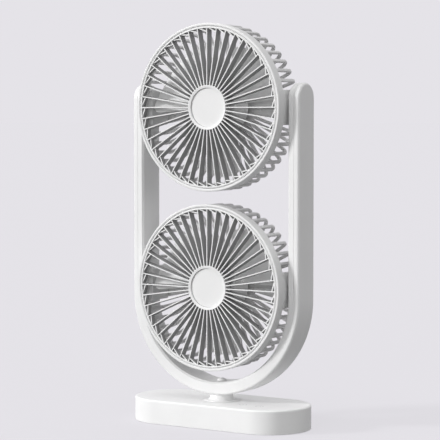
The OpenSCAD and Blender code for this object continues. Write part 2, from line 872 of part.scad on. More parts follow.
module front_grille() {
    color(white) {
        rotate_extrude() polygon([
            [grille_ring_in, grille_back],
            [grille_r, grille_back],
            [grille_r, head_front - rim_chamfer],
            [grille_r - rim_chamfer, head_front],
            [grille_ring_in, head_front]
        ]);
        around(spokes) front_spoke();
        around(spokes) slanted_strut();
        ring(hub_r, hub_r - hub_wall, grille_back, head_front);
        translate([0, 0, cap_back - hub_floor_t]) cylinder(r = hub_r - hub_wall + bite / 2, h = hub_floor_t);
    }
}

module hub_cap() {
    color([0.9, 0.9, 0.9]) rotate_extrude() polygon([
        [0, cap_back],
        [cap_r, cap_back],
        [cap_r, cap_front - rim_chamfer],
        [cap_r - rim_chamfer, cap_front],
        [0, cap_front]
    ]);
}

module motor_board() {
    color([0.1, 0.35, 0.2]) ring(motor_board_r, tube_r + face_gap, rear_face, motor_board_front);
}

module tooth(grow) {
    translate([0, -tooth_w / 2 - grow]) square([stator_r - tooth_tip, tooth_w + 2 * grow]);
}

module stator_core() {
    color(steel) translate([0, 0, -stator_back - stator_half]) linear_extrude(2 * stator_half) difference() {
        union() {
            circle(tube_r + tooth_gap);
            around(teeth) tooth(0);
            intersection() {
                difference() {
                    circle(stator_r);
                    circle(stator_r - tooth_tip);
                }
                around(teeth) translate([0, -tooth_w]) square([stator_r, 2 * tooth_w]);
            }
        }
        circle(tube_r + seat_fit / 2);
    }
}

// One coil round each tooth, clear of the tooth's sides
module stator_coils() {
    coil_in = tube_r + tooth_gap + 2 * seat_fit;
    coil_len = stator_r - tooth_tip - 2 * seat_fit - coil_in;
    color([0.72, 0.42, 0.2]) around(teeth) translate([coil_in, 0, -stator_back]) along_x()
        difference() {
            linear_extrude(coil_len)
                square([tooth_w + 2 * seat_fit + coil_t, 2 * ring_half], center = true);
            translate([0, 0, -cut]) linear_extrude(coil_len + 2 * cut)
                square([tooth_w + 2 * seat_fit, 2 * stator_half + 2 * seat_fit], center = true);
        }
}

module bearings() {
    color(steel) {
        ring(bearing_r, motor_shaft_r + run_fit, tube_front - bearing_w, tube_front);
        ring(bearing_r, motor_shaft_r + run_fit, rear_face, rear_face + bearing_w);
    }
}

// The lead leaves the right pin, drops down the pad and runs in front of the bridge to the board
module motor_lead() {
    past_elbow = max(0, pad_in - seat_fit - elbow_x);
    elbow_in = elbow_r - bar_t;
    run_z = elbow_z - sqrt(elbow_in * elbow_in - past_elbow * past_elbow) + seat_fit;
    color(dark) {
        translate([pad_in - seat_fit - lead_t, -lead_w / 2, run_z])
            cube([lead_t, lead_w, lead_w / 2 - run_z]);
        translate([motor_board_r + seat_fit, -lead_w / 2, run_z])
            cube([pad_in - seat_fit - motor_board_r - seat_fit, lead_w, lead_t]);
    }
}

// A curved plate, tilted to its pitch and cut to the blade's outline
module blade() {
    intersection() {
        translate([0, 0, blade_z]) along_x() linear_extrude(impeller_r) rotate(blade_pitch)
            translate([0, blade_curve]) difference() {
                circle(blade_curve + blade_t);
                circle(blade_curve);
            }
        translate([0, 0, -cup_back]) linear_extrude(cup_back + cup_front) intersection() {
            polygon([
                [cup_in + bite, -blade_root],
                [impeller_r + cut, -blade_tip],
                [impeller_r + cut, blade_tip],
                [cup_in + bite, blade_root]
            ]);
            circle(impeller_r);
        }
    }
}

module impeller() {
    boss_back = tube_front + face_gap;
    color([0.86, 0.86, 0.87]) difference() {
        union() {
            difference() {
                translate([0, 0, -cup_back]) cylinder(r = cup_r, h = cup_back + cup_front);
                translate([0, 0, -cup_back - cut])
                    cylinder(r = cup_in, h = cup_back + cup_front - cup_wall + cut);
            }
            translate([0, 0, boss_back])
                cylinder(r = tube_r - tube_wall, h = cup_front - cup_wall - boss_back + bite);
            rotate(blade_phase) around(blades) difference() {
                blade();
                cylinder(r = cup_in + bite, h = 4 * cup_front, center = true);
            }
        }
        translate([0, 0, boss_back - cut])
            cylinder(r = motor_shaft_r + seat_fit / 4, h = shaft_front - boss_back + cut);
    }
}

module rotor_yoke() {
    color(steel) ring(yoke_out, yoke_in, -stator_back - ring_half, -stator_back + ring_half);
}

module rotor_magnets() {
    color(dark) ring(magnet_out, magnet_in, -stator_back - stator_half, -stator_back + stator_half);
}

module motor_shaft() {
    color(steel) translate([0, 0, shaft_rear]) cylinder(r = motor_shaft_r, h = shaft_front - shaft_rear);
}

// The same twelve pieces make each head
module upper_rear_cage() { at_head(upper_z) rear_cage(); }
module upper_front_grille() { at_head(upper_z) front_grille(); }
module upper_hub_cap() { at_head(upper_z) hub_cap(); }
module upper_motor_board() { at_head(upper_z) motor_board(); }
module upper_stator_core() { at_head(upper_z) stator_core(); }
module upper_stator_coils() { at_head(upper_z) stator_coils(); }
module upper_bearings() { at_head(upper_z) bearings(); }
module upper_motor_lead() { at_head(upper_z) motor_lead(); }
module upper_impeller() { at_head(upper_z) impeller(); }
module upper_rotor_yoke() { at_head(upper_z) rotor_yoke(); }
module upper_rotor_magnets() { at_head(upper_z) rotor_magnets(); }
module upper_motor_shaft() { at_head(upper_z) motor_shaft(); }
module lower_rear_cage() { at_head(lower_z) rear_cage(); }
module lower_front_grille() { at_head(lower_z) front_grille(); }
module lower_hub_cap() { at_head(lower_z) hub_cap(); }
module lower_motor_board() { at_head(lower_z) motor_board(); }
module lower_stator_core() { at_head(lower_z) stator_core(); }
module lower_stator_coils() { at_head(lower_z) stator_coils(); }
module lower_bearings() { at_head(lower_z) bearings(); }
module lower_motor_lead() { at_head(lower_z) motor_lead(); }
module lower_impeller() { at_head(lower_z) impeller(); }
module lower_rotor_yoke() { at_head(lower_z) rotor_yoke(); }
module lower_rotor_magnets() { at_head(lower_z) rotor_magnets(); }
module lower_motor_shaft() { at_head(lower_z) motor_shaft(); }

base_shell();
base_bottom_plate();
rubber_feet();
base_screws();
ballast_plate();
battery_cells();
control_board();
charge_port();
touch_board();
touch_marks();
swivel_bushing();
slip_washer();
frame_outer_shell();
frame_inner_shell();
neck_post();
neck_screw();
screw_plug();
swivel_keeper();
swivel_nut();
tilt_pins();
tilt_pin_nuts();
friction_washers();
wire_harness();
upper_rear_cage();
upper_front_grille();
upper_hub_cap();
upper_motor_board();
upper_stator_core();
upper_stator_coils();
upper_bearings();
upper_motor_lead();
upper_impeller();
upper_rotor_yoke();
upper_rotor_magnets();
upper_motor_shaft();
lower_rear_cage();
lower_front_grille();
lower_hub_cap();
lower_motor_board();
lower_stator_core();
lower_stator_coils();
lower_bearings();
lower_motor_lead();
lower_impeller();
lower_rotor_yoke();
lower_rotor_magnets();
lower_motor_shaft();
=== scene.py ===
import json
import math

import bmesh
import bpy
from mathutils import Matrix, Vector


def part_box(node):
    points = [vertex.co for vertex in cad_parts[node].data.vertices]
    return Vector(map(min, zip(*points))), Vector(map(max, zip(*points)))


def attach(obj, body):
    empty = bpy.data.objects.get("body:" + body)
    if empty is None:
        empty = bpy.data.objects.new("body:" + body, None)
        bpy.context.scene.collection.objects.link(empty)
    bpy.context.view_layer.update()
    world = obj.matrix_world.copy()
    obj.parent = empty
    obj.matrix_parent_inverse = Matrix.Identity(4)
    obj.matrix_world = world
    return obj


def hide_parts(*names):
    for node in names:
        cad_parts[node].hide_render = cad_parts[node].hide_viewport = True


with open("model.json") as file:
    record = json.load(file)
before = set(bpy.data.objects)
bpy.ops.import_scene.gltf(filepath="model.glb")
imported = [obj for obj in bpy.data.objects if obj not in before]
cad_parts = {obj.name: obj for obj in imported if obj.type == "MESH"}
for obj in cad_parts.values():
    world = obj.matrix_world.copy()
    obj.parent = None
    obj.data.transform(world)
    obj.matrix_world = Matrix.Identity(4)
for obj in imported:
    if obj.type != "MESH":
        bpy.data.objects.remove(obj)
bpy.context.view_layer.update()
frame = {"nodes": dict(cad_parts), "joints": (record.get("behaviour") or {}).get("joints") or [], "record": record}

# Shapes are drawn in millimetres and made into metres when they become meshes
MM = 0.001


def corners(node):
    """Lowest and highest corner of a CAD node, in millimetres."""
    low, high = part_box(node)
    return low / MM, high / MM


joint_z = {j["name"]: j["pos_m"][2] / MM for j in frame["joints"]}
HEADS = {"upper": joint_z["upper_tilt"], "lower": joint_z["lower_tilt"]}

# How far a piece runs into the one that carries it
bite = 0.5
# How far a cutter reaches past what it cuts
through = 1
# Rounding of the finest moulded edges
fine_round = 0.2
# Steps round the edge of the base, and round the outer edge of the U frame
edge_steps = 6

# Base
base_low, base_high = corners("base_shell")
base_l = base_high.x - base_low.x
base_w = base_high.y - base_low.y
base_top = base_high.z
base_bottom = base_low.z
base_wall = 2
base_edge = 1.5
# The casing's hem hangs this much lower than the CAD's
base_skirt = 0.5
hem_round = 0.4
hem_bevel = 0.12
_, bush_high = corners("swivel_bushing")
bush_gap = 0.05
port_low, port_high = corners("charge_port")
port_gap = 0.2
port_cut = 10
feet_low, feet_high = corners("rubber_feet")
foot_d = 10
foot_round = 0.35

# Touch marks, inlaid in grooves
marks_low, marks_high = corners("touch_marks")
touch_d = marks_high.y - marks_low.y
touch_line = 0.7
touch_dot_r = touch_d / 8
groove_depth = 0.25
groove_cut = 2
inlay_t = 0.2

# Neck, whose foot sweeps out over the base in a cove
post_low, post_high = corners("neck_post")
_, slip_high = corners("slip_washer")
screw_low, _ = corners("neck_screw")
neck_r = 9.6
cove_r = 13.2
cove_h = 4.6
flare_r = post_high.x
lip_gap = 0.08
lip_w = 1.5
lip_h = 0.12
seat_inset = 1.8
slip_gap = 0.1
shaft_r = 7
screw_gap = 0.1
screw_hole_r = 1.55
wire_hole_r = 1.6
wire_y = 4.7
bend_gap = 0.05
bend_cut = 20

# U frame, a strip of two shells that meet at a seam
frame_low, frame_high = corners("frame_outer_shell")
_, liner_high = corners("frame_inner_shell")
frame_out = frame_high.x
arm_half = frame_high.y
arm_top_z = frame_high.z - arm_half
bend_z = frame_low.z + frame_out
seam_r = liner_high.x
liner_t = 5.7
frame_in = seam_r - liner_t
frame_wall = 2
frame_edge = 2.3
liner_edge = 1.5
corner_soften = 0.25
seam_gap = 0.15
seam_soften = 0.15
# On the bend the seam keeps this share of its width, and it opens over this length of each arm
seam_shut = 0.1
seam_fade = 12
bend_end = math.pi / 2 * seam_r
frame_half = bend_end + arm_top_z - bend_z

# Fan head, about its tilt axis, with +Z forward
cage_low, cage_high = corners("upper_rear_cage")
head_r = cage_high.x
head_front = -cage_low.y
head_back = cage_high.y
band_w = 9.6
band_back = head_front - band_w
rim_t = 2.4
rim_in = head_r - rim_t
rim_round = 0.7
rim_slope = 0.7
rim_steps = 240
ledge_w = 4.5
ledge_round = 0.3
groove_d = 0.9

# Front grille, with its hub ring and cap
_, grille_high = corners("upper_front_grille")
grille_r = grille_high.x
grille_back = -grille_high.y
ring_w = 1.7
ring_in = grille_r - ring_w
ring_round = 0.3
hub_r = 18.6
hub_wall = 2.3
hub_round = 0.4
hub_dish = 0.4
hub_floor = 2
floor_bite = 0.2
spokes = 44
spoke_w = 1.4
spoke_front_w = 0.95
spoke_inset = 0.2
spoke_round = 0.25
spoke_bite = 0.25
strut_w = 1
strut_d = 4.5
strut_inset = 0.7
strut_in = 2.8
strut_bite = 1
# Faces between these radii get painted shade on the grille's sides, unless their normal's Y is below the limit
sides_from = hub_r + 0.2
sides_to = ring_in - 0.05
front_limit = -0.5
cap_low, cap_high = corners("upper_hub_cap")
cap_r = cap_high.x
cap_front = -cap_low.y
cap_back = -cap_high.y
cap_round = 0.3

# Rear cage: bars with round elbows, the rear plate and the tube that holds the bearings
bars = 48
bar_w = 2.8
bar_t = 2.6
bar_round = 0.9
bar_inset = 0.2
bar_out = head_r - bar_inset
bar_rear = bar_inset - head_back
elbow_r = 9.5
rear_plate_r = 24.8
plate_round = 0.8
plate_in_round = 0.3
tube_r = 5.55
tube_in = 4.05
tube_front = 5

# Pivot pads, each with a seat for its friction washer
pad_h = 29
pad_t = 9
pad_in = head_r - pad_t
pad_back = 9
pad_round = 0.8
pad_in_round = 1.5
pad_soften = 0.5
seat_r = 7.75
seat_d = 0.6
seat_face = head_r - seat_d
seat_cut = 5
# Half the angle that a pad takes up, in degrees
pad_reach = math.degrees(math.asin(pad_h / 2 / head_r))

# Impeller
cup_r = 21
cup_wall = 1.8
cup_front = 13
cup_back = 8.6
cup_round = 2.2
cup_in_round = 0.5
cup_lip_round = 0.4
impeller_r = 58.5
blades = 3
blade_pitch = math.radians(21)
blade_curve = 75
blade_z = 2
blade_root = 9.5
blade_tip = 28
blade_phase = 36
blade_corner = 8
blade_bite = 0.6
blade_t = 1.4
# Share of the thickness that is left at the edges
blade_thin = 0.4
# The rest is there from a fifth of the way to the middle on
side_rise = 5
# At the blade's end the rest is down to this share, and 2 mm further in all of it is there
tip_share = 0.35
tip_rise = 3


# Outlines

# A rounding takes up less than half of each line beside it
ROUND_SHARE = 0.49


def rounded(points, radius, steps=3):
    """The same outline with its corners rounded off. radius is one size, or one for each corner."""
    count = len(points)
    radii = radius if isinstance(radius, (list, tuple)) else [radius] * count
    made = []
    for i, (corner, size) in enumerate(zip(points, radii)):
        here = Vector(corner)
        if size == 0:
            made.append(tuple(here))
            continue
        back = Vector(points[i - 1]) - here
        ahead = Vector(points[(i + 1) % count]) - here
        reach = min(size, back.length * ROUND_SHARE, ahead.length * ROUND_SHARE)
        start = here + back.normalized() * reach
        end = here + ahead.normalized() * reach
        for k in range(steps + 1):
            t = k / steps
            made.append(tuple(start * (1 - t) ** 2 + here * 2 * t * (1 - t) + end * t ** 2))
    return made


def arc(centre, radius, start, end, steps):
    """Points on an arc, with its angles in degrees."""
    angles = [math.radians(start + (end - start) * k / steps) for k in range(steps + 1)]
    return [(centre[0] + radius * math.cos(a), centre[1] + radius * math.sin(a)) for a in angles]


def circle(radius, count):
    """A full circle of count points."""
    return arc((0, 0), radius, 0, 360 - 360 / count, count - 1)


def signed_area(outline):
    """Twice the outline's area, below 0 where it runs clockwise."""
    total = 0
    for i, (x, y) in enumerate(outline):
        before_x, before_y = outline[i - 1]
        total += before_x * y - x * before_y
    return total


# Solids, each a list of points and a list of faces

def loft(rows, ring=False):
    """Joins loops of equal length.

    Both ends are closed with a face, unless the last loop meets the first.
    """
    count = len(rows[0])
    points = [p for row in rows for p in row]
    faces = []
    pairs = [(k, k + 1) for k in range(len(rows) - 1)]
    if ring:
        pairs.append((len(rows) - 1, 0))
    for a, b in pairs:
        for i in range(count):
            j = (i + 1) % count
            faces.append((a * count + i, a * count + j, b * count + j, b * count + i))
    if not ring:
        faces.append(tuple(range(count))[::-1])
        faces.append(tuple((len(rows) - 1) * count + i for i in range(count)))
    return points, faces


def lathe(profile, steps=160):
    """Turns a closed outline of (radius, height) points about Z."""
    rows = []
    for k in range(steps):
        a = 2 * math.pi * k / steps
        rows.append([(r * math.cos(a), r * math.sin(a), z) for r, z in profile])
    return loft(rows, ring=True)


def prism(outline, z0, z1, soften=0.0):
    """Pushes an outline from z0 to z1, with both rims rounded inward."""
    count = len(outline)
    inward = []
    for i in range(count):
        here = Vector(outline[i])
        back = (Vector(outline[i - 1]) - here).normalized()
        ahead = (Vector(outline[(i + 1) % count]) - here).normalized()
        side = Vector((ahead.y, -ahead.x)) + Vector((-back.y, back.x))
        inward.append(side.normalized() if side.length else Vector((0, 0)))
    turn = -1 if signed_area(outline) > 0 else 1
    rows = [(0, z0)]
    if soften:
        steps = 3
        turns = [math.pi / 2 * k / steps for k in range(steps + 1)]
        rows = [(soften * (1 - math.sin(a)), z0 + soften * (1 - math.cos(a))) for a in turns]
    rows += [(inset, z1 - (height - z0)) for inset, height in reversed(rows)]
    return loft([
        [(p[0] + turn * n.x * inset, p[1] + turn * n.y * inset, z)
         for p, n in zip(outline, inward)]
        for inset, z in rows
    ])


def mapped(shape, move):
    """The shape with each point put where move says."""
    points, faces = shape
    return [move(*p) for p in points], faces


def shifted(shape, dx=0, dy=0, dz=0):
    """The shape moved along the axes."""
    return mapped(shape, lambda x, y, z: (x + dx, y + dy, z + dz))


def turned(shape, degrees):
    """The shape turned about Z."""
    c, s = math.cos(math.radians(degrees)), math.sin(math.radians(degrees))
    return mapped(shape, lambda x, y, z: (c * x - s * y, s * x + c * y, z))


def around(shape, count, first=0.0):
    """Copies of the shape, evenly turned about Z from the first angle."""
    return [turned(shape, first + 360 * k / count) for k in range(count)]


def stadium_rows(profile, half, radius, stations, place, arc_steps=24):
    """Loops round a stadium, one for each (inset, height) of the profile.

    place puts a point in space. stations are the points along one straight side, and they let
    that side bend where place bends it.
    """
    turns = [math.pi * k / arc_steps for k in range(1, arc_steps)]
    rows = []
    for inset, height in profile:
        r = max(radius - inset, 0)
        loop = [(s, r) for s in stations]
        loop += [(half + r * math.sin(a), r * math.cos(a)) for a in turns]
        loop += [(s, -r) for s in reversed(stations)]
        loop += [(-half - r * math.sin(a), -r * math.cos(a)) for a in turns]
        rows.append([place(s, w, height) for s, w in loop])
    return rows


# From shapes to pieces

# Two faces at a larger angle than this have a sharp line between them
SHARP = math.radians(32)
# Points closer than this, in metres, become one
WELD = 1e-7


def to_mesh(name, shapes, matrix=Matrix.Identity(4)):
    """One mesh in metres from shapes in millimetres, each welded and faced outward by itself."""
    whole = bmesh.new()
    for points, faces in shapes:
        one = bmesh.new()
        verts = [one.verts.new(matrix @ Vector(p) * MM) for p in points]
        for face in faces:
            distinct = list(dict.fromkeys(face))
            if len(distinct) > 2:
                one.faces.new([verts[i] for i in distinct])
        bmesh.ops.remove_doubles(one, verts=one.verts, dist=WELD)
        bmesh.ops.dissolve_degenerate(one, edges=one.edges, dist=WELD)
        bmesh.ops.recalc_face_normals(one, faces=one.faces)
        part = bpy.data.meshes.new("part")
        one.to_mesh(part)
        one.free()
        whole.from_mesh(part)
        bpy.data.meshes.remove(part)
    mesh = bpy.data.meshes.new(name)
    whole.to_mesh(mesh)
    whole.free()
    return mesh


def soften_shading(mesh):
    """Smooth faces with sharp lines only where two faces meet at a real corner."""
    work = bmesh.new()
    work.from_mesh(mesh)
    for face in work.faces:
        face.smooth = True
    for edge in work.edges:
        edge.smooth = not edge.is_manifold or edge.calc_face_angle(0) < SHARP
    work.to_mesh(mesh)
    work.free()


def cut_away(obj, cutters, matrix):
    """Takes the cutters' shapes out of a piece, one at a time, and keeps the result as its mesh."""
    for k, cutter in enumerate(cutters):
        tool = bpy.data.objects.new(f"cutter_{k}", to_mesh("cutter", [cutter], matrix))
        bpy.context.scene.collection.objects.link(tool)
        boolean = obj.modifiers.new("Cut", "BOOLEAN")
        boolean.operation = "DIFFERENCE"
        boolean.solver = "EXACT"
        boolean.object = tool
        bpy.context.view_layer.update()
        depsgraph = bpy.context.evaluated_depsgraph_get()
        result = bpy.data.meshes.new_from_object(obj.evaluated_get(depsgraph))
        obj.modifiers.clear()
        obj.data = result
        bpy.data.objects.remove(tool)


def piece(name, shapes, body, slot, stands_for, matrix=Matrix.Identity(4), cutters=(),
          finish=None):
    """A piece that rides on a body, in the material of its slot or in a finish of its own."""
    obj = bpy.data.objects.new(name, to_mesh(name, shapes, matrix))
    bpy.context.scene.collection.objects.link(obj)
    cut_away(obj, cutters, matrix)
    soften_shading(obj.data)
    obj.data.materials.clear()
    obj.data.materials.append(MATERIALS[finish or slot])
    weighted = obj.modifiers.new("Weighted normals", "WEIGHTED_NORMAL")
    weighted.keep_sharp = True
    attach(obj, body)
    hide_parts(*stands_for)
    return obj


def finish_faces(obj, finish, chosen):
    """Gives the faces that chosen picks the second finish of a piece."""
    obj.data.materials.append(MATERIALS[finish])
    for face in obj.data.polygons:
        if chosen(face):
            face.material_index = 1


# Materials

# Most of a noise's values lie between these
NOISE_LOW, NOISE_HIGH = 0.3, 0.7
# Scales are in features per metre, and depths in millimetres
CLOUD_SCALE = 45
GRAIN_SCALE = 3200
GRAIN_DEPTH = 0.03
LINE_SCALE = 220
LINE_DEPTH = 0.02
LINE_STRENGTH = 0.15
# How far roughness changes to both sides, and how dark a metal's lines are
PLASTIC_CHANGE = 0.04
METAL_CHANGE = 0.07
METAL_SHADE = 0.9


def new_material(name):
    """A material with its shader, its nodes, and coordinates that stay with the object."""
    material = bpy.data.materials.new(name)
    material.use_nodes = True
    tree = material.node_tree
    shader = tree.nodes["Principled BSDF"]
    coords = tree.nodes.new("ShaderNodeTexCoord").outputs["Object"]
    return material, tree, shader, coords


def noise(tree, coords, scale, detail, stretch=None):
    """Noise with its scale in features per metre, and stretched along an axis if asked."""
    if stretch:
        mapping = tree.nodes.new("ShaderNodeMapping")
        mapping.inputs["Scale"].default_value = stretch
        tree.links.new(coords, mapping.inputs["Vector"])
        coords = mapping.outputs["Vector"]
    node = tree.nodes.new("ShaderNodeTexNoise")
    node.inputs["Scale"].default_value = scale
    node.inputs["Detail"].default_value = detail
    tree.links.new(coords, node.inputs["Vector"])
    return node.outputs["Fac"]


def spread(tree, value, middle, change):
    """A noise's value laid out to both sides of the middle."""
    node = tree.nodes.new("ShaderNodeMapRange")
    node.inputs["From Min"].default_value = NOISE_LOW
    node.inputs["From Max"].default_value = NOISE_HIGH
    node.inputs["To Min"].default_value = middle - change
    node.inputs["To Max"].default_value = middle + change
    tree.links.new(value, node.inputs["Value"])
    return node.outputs["Result"]


def two_tones(tree, value, first, second):
    """A noise's value as a colour between two tones."""
    ramp = tree.nodes.new("ShaderNodeValToRGB")
    low, high = ramp.color_ramp.elements
    low.position, high.position = NOISE_LOW, NOISE_HIGH
    low.color, high.color = (*first, 1), (*second, 1)
    tree.links.new(value, ramp.inputs["Fac"])
    return ramp.outputs["Color"]


def bump(tree, shader, height, strength, depth_mm):
    """Relief on the shader from a height."""
    node = tree.nodes.new("ShaderNodeBump")
    node.inputs["Strength"].default_value = strength
    node.inputs["Distance"].default_value = depth_mm * MM
    tree.links.new(height, node.inputs["Height"])
    tree.links.new(node.outputs["Normal"], shader.inputs["Normal"])


def moulded(name, colour, roughness, grain=0.12, shift=0.015, sheen=0.35):
    """Moulded plastic: a fine spark-eroded grain, faint flow clouds and uneven gloss."""
    material, tree, shader, coords = new_material(name)
    clouds = noise(tree, coords, CLOUD_SCALE, detail=3)
    fine = noise(tree, coords, GRAIN_SCALE, detail=2)
    darker = tuple(c * (1 - shift) for c in colour)
    lighter = tuple(min(c * (1 + shift), 1) for c in colour)
    tree.links.new(two_tones(tree, clouds, darker, lighter), shader.inputs["Base Color"])
    tree.links.new(spread(tree, clouds, roughness, PLASTIC_CHANGE), shader.inputs["Roughness"])
    shader.inputs["Specular IOR Level"].default_value = sheen
    bump(tree, shader, fine, grain, GRAIN_DEPTH)
    return material


def metal(name, colour, roughness, stretch=(1, 1, 40)):
    """Plated metal with fine lines from its rolling or turning."""
    material, tree, shader, coords = new_material(name)
    lines = noise(tree, coords, LINE_SCALE, detail=4, stretch=stretch)
    darker = tuple(c * METAL_SHADE for c in colour)
    tree.links.new(two_tones(tree, lines, darker, colour), shader.inputs["Base Color"])
    tree.links.new(spread(tree, lines, roughness, METAL_CHANGE), shader.inputs["Roughness"])
    shader.inputs["Metallic"].default_value = 1
    bump(tree, shader, lines, LINE_STRENGTH, LINE_DEPTH)
    return material


def grey(level):
    return (level, level, level)


MATERIALS = {
    "white_shell": moulded("satin white plastic", grey(0.86), 0.42),
    # Painted light: the same white plastic as the frame, made lighter to stand in for light that the floor throws
    # back onto the base
    "base_shell": moulded("white plastic painted lighter", grey(0.93), 0.42),
    "hub_cap": moulded("fine white plastic", grey(0.84), 0.5, grain=0.05),
    "cage_plastic": moulded("white cage plastic", grey(0.84), 0.45),
    # Painted shade: a darker copy of the cage's white plastic for the bars
    "shaded_bars": moulded("bar plastic with painted shade", (0.78, 0.775, 0.78), 0.48),
    # Painted shade: the sides of the spokes and struts are the grille's white plastic, painted dark
    "painted_shade_sides": moulded("grille sides with painted shade", (0.40, 0.40, 0.403), 0.5),
    "blade_plastic": moulded("pale blade plastic", grey(0.95), 0.4, grain=0.06),
    "grey_plastic": moulded("textured grey plastic", (0.40, 0.40, 0.41), 0.6, grain=0.3),
    "touch_print": moulded("pale print", (0.62, 0.62, 0.63), 0.35, grain=0.03),
    "bearing_plastic": moulded("natural acetal", (0.72, 0.69, 0.60), 0.35),
    "rubber": moulded("matt rubber", (0.025, 0.025, 0.026), 0.8, grain=0.35, shift=0.1, sheen=0.2),
    "wire_jacket": moulded("soft white wire jacket", grey(0.6), 0.55, grain=0.2, shift=0.05),
    "cell_film": moulded("foil pouch", (0.33, 0.38, 0.45), 0.3, grain=0.4),
    "circuit_board": moulded("solder mask", (0.015, 0.10, 0.04), 0.3, grain=0.15, shift=0.15),
    "magnet": moulded("bonded ferrite", (0.03, 0.03, 0.034), 0.6, grain=0.4, shift=0.1),
    "steel": metal("zinc plated steel", (0.62, 0.63, 0.66), 0.34),
    "copper_wire": metal("enamelled copper", (0.70, 0.30, 0.11), 0.32, stretch=(40, 1, 1)),
}

for subpart in frame["record"]["subparts"]:
    node = frame["nodes"][subpart["node"]]
    node.data.materials.clear()
    node.data.materials.append(MATERIALS[subpart["material_slot"]])


# Base

def flat(s, w, height):
    """Places a point of a stadium that lies level."""
    return (s, w, height)


def mark_shapes(height):
    """The two touch marks: rings, one round a dot and one round three short bars."""
    r = touch_d / 2
    y = (marks_low.y + marks_high.y) / 2
    x0 = marks_low.x + r
    x1 = marks_high.x - r
    ring = lathe([(r - touch_line, 0), (r, 0), (r, height), (r - touch_line, height)], steps=64)
    dot = prism(circle(touch_dot_r, 36), 0, height)
    bar_in, bar_end = r / 4, r / 2 + touch_line
    bar = prism([(bar_in, -touch_line / 2), (bar_end, -touch_line / 2),
                 (bar_end, touch_line / 2), (bar_in, touch_line / 2)], 0, height)
    made = [shifted(ring, x, y) for x in (x0, x1)]
    made.append(shifted(dot, x0, y))
    made += [shifted(turned(bar, a), x1, y) for a in (90, 210, 330)]
    return [shifted(shape, dz=base_top - groove_depth) for shape in made]


def port_mouth():
    """What the charging port's mouth takes out of the rear wall."""
    port_h = port_high.z - port_low.z
    half = (port_high.x - port_low.x) / 2 - port_h / 2
    r = port_h / 2 + port_gap
    z = (port_high.z + port_low.z) / 2
    outline = arc((half, z), r, -90, 90, 12) + arc((-half, z), r, 90, 270, 12)
    return mapped(prism(outline, 0, port_cut),
                  lambda x, y, depth: (x, base_w / 2 - port_cut / 2 + depth, y))


def make_base():
    half = (base_l - base_w) / 2
    ceiling = base_top - base_wall
    hem = base_bottom - base_skirt
    profile = [(base_w / 2, base_top)]
    profile += [(base_edge - x, base_top - base_edge + z)
                for x, z in arc((0, 0), base_edge, 90, 0, edge_steps)]
    profile += [
        (0, hem + hem_round),
        (hem_bevel, hem + hem_bevel),
        (hem_round, hem),
        (base_wall, hem),
        (base_wall, ceiling),
        (base_w / 2, ceiling),
    ]
    shell = loft(stadium_rows(profile, half, base_w / 2, (-half, half), flat, arc_steps=48))
    bore_outline = arc((0, 0), bush_high.x + bush_gap, 0, 358, 90)[:-1]
    bore = prism(bore_outline, ceiling - through, base_top + through)
    # The casing's finish is painted light, the white plastic made lighter to stand in for light from the floor
    piece("base_casing", [shell], "base", "white_shell", ["base_shell"],
          cutters=[bore, port_mouth(), *mark_shapes(groove_cut)], finish="base_shell")
    piece("touch_rings", mark_shapes(inlay_t), "base", "touch_print", ["touch_marks"])


def make_feet():
    r = foot_d / 2
    outline = [(0, feet_low.z), (r, feet_low.z), (r, feet_high.z), (0, feet_high.z)]
    foot = lathe(rounded(outline, [0, foot_round, 0, 0]), steps=64)
    x = feet_high.x - r
    y = feet_high.y - r
    placed = [shifted(foot, side * x, end * y) for side in (-1, 1) for end in (-1, 1)]
    piece("foot_pads", placed, "base", "rubber", ["rubber_feet"])


# U frame

def on_frame(s, w, u):
    """s runs along the U from the middle of its bend, w across the strip and u outward."""
    if abs(s) <= bend_end:
        a = s / seam_r
        return (u * math.sin(a), -w, bend_z - u * math.cos(a))
    return (math.copysign(u, s), -w, bend_z + abs(s) - bend_end)


def with_seam(s, w, u):
    """Places a point on the frame. On the bend the groove between the shells closes up."""
    past_bend = min(max((abs(s) - bend_end) / seam_fade, 0), 1)
    share = seam_shut + (1 - seam_shut) * past_bend
    inset = arm_half - abs(w)
    if abs(u - seam_r) <= seam_gap + seam_soften:
        u = seam_r + (u - seam_r) * share
        if inset <= seam_soften:
            w = math.copysign(arm_half - inset * share, w)
    return on_frame(s, w, u)


def shell_section(face, seam, edge, steps):
    """Half a frame shell's section as (inset, height), from its face over the edge to the seam.

    The edge is an arc with this many steps. One step makes it a chamfer.
    """
    way = math.copysign(1, seam - face)
    turns = [math.pi / 2 * k / steps for k in range(steps + 1)]
    over = [(edge * (1 - math.sin(a)), face + way * edge * (1 - math.cos(a))) for a in turns]
    soften = corner_soften if steps == 1 else 0
    return rounded([
        (arm_half, face),
        *over,
        (0, seam),
        (frame_wall, seam),
        (frame_wall, face + way * frame_wall),
        (arm_half, face + way * frame_wall),
    ], [0] + [soften] * len(over) + [seam_soften, 0, 0, 0])


def make_frame():
    bend_steps = 60
    faded = bend_end + seam_fade
    on_bend = [bend_end * k / bend_steps for k in range(-bend_steps, bend_steps + 1)]
    stations = [-frame_half, -faded, *on_bend, faded, frame_half]
    back = shell_section(frame_out, seam_r + seam_gap, frame_edge, edge_steps)
    liner = shell_section(frame_in, seam_r, liner_edge, steps=1)
    for name, profile, node in (("frame_back", back, "frame_outer_shell"),
                                ("frame_liner", liner, "frame_inner_shell")):
        shape = loft(stadium_rows(profile, frame_half, arm_half, stations, with_seam))
        piece(name, [shape], "frame", "white_shell", [node])


